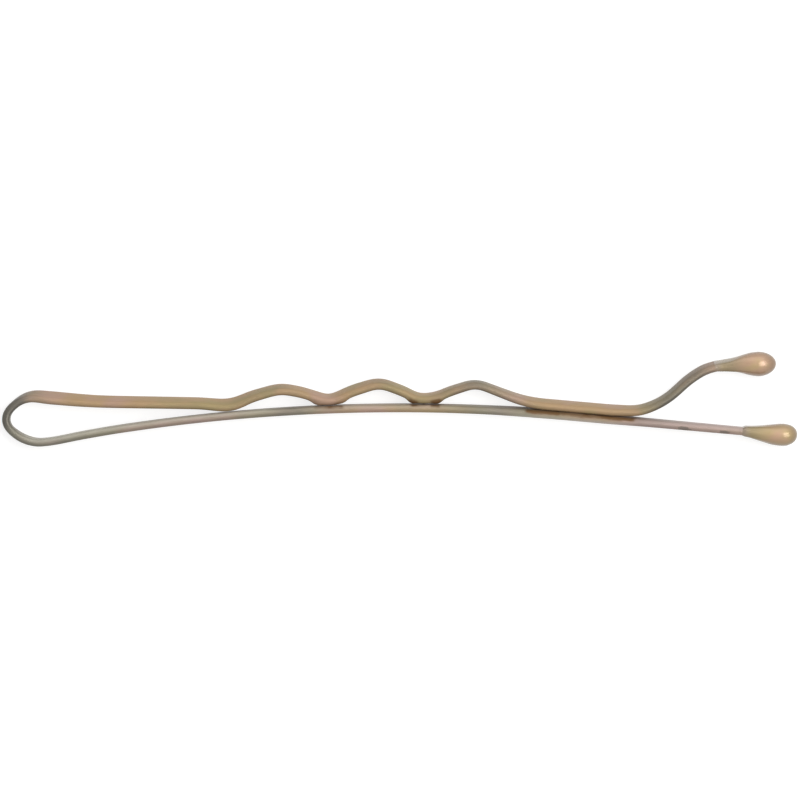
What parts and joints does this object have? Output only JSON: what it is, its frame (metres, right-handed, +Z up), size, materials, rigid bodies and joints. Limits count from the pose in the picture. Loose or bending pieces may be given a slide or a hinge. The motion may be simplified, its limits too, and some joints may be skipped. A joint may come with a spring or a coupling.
{
  "type": "bobby pin",
  "caption": "Lacquered spring-wire hair pin: a bowed plain leg, a narrow spring loop, and a crimped leg with a turned-up mouth; rounded tips.",
  "frame": {"origin": "bottom centre of the pin's bounding box, the pin lying on its side", "axes": "+X from the loop to the tips, +Y from the plain leg to the crimped leg, +Z up, along the width of the wire"},
  "size_m": [0.051, 0.0062, 0.0018],
  "materials": {
    "wire_lacquer": "satin gold-tan lacquer on flat spring-steel wire, greyer on the plain leg",
    "tip_lacquer": "glossy gold-tan lacquer drop"
  },
  "bodies": {
    "straight_side": {"straight_leg": "wire_lacquer", "straight_leg_tip": "tip_lacquer"},
    "bend": {"spring_bend": "wire_lacquer"},
    "crimped_side": {"crimped_leg": "wire_lacquer", "crimped_leg_tip": "tip_lacquer"}
  },
  "joints": [
    {"name": "straight_leg_flex", "type": "hinge", "parent": "straight_side", "child": "bend", "pos_m": [-0.01907, -0.00206, 0.0009], "axis": [0, 0, 1], "range_deg": [0, 8], "stiffness_Nm_per_rad": 0.04, "springref_deg": -1.15, "deforming": ["spring_bend"]},
    {"name": "crimped_leg_flex", "type": "hinge", "parent": "bend", "child": "crimped_side", "pos_m": [-0.01907, -0.00016, 0.0009], "axis": [0, 0, 1], "range_deg": [0, 8], "stiffness_Nm_per_rad": 0.04, "springref_deg": -1.15}
  ],
  "couplings": [
    {"joint": "crimped_leg_flex", "follows": "straight_leg_flex", "ratio": 1}
  ]
}
